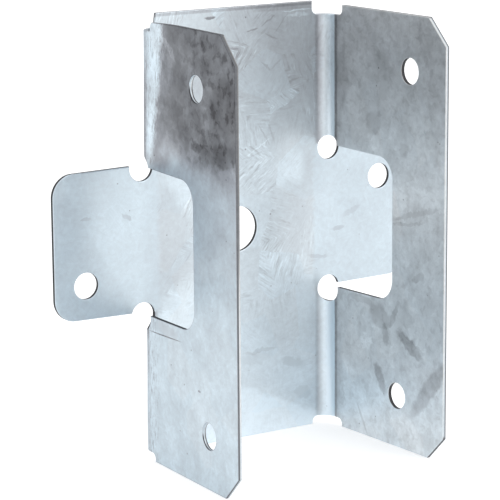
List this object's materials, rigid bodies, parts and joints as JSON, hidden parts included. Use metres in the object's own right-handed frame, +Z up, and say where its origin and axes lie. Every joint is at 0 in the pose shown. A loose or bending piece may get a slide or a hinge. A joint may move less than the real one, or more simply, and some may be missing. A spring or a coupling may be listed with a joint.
{
  "type": "ridge tie connector",
  "caption": "Folded galvanised sheet channel that grips a board between drilled flanges, with tabs lanced out sideways to nail to the member behind.",
  "frame": {"origin": "centre of the centre hole on the back face of the web", "axes": "+Y out of the back face of the web, along the centre hole; +Z up along the channel; +X across the web; the channel opens towards -Y"},
  "size_m": [0.0726, 0.0335, 0.0767],
  "materials": {
    "galvanised_sheet": "hot-dip galvanised, dull zinc with a faint spangle and rubbed patches"
  },
  "bodies": {
    "root": {"connector_body": "galvanised_sheet"}
  },
  "joints": []
}
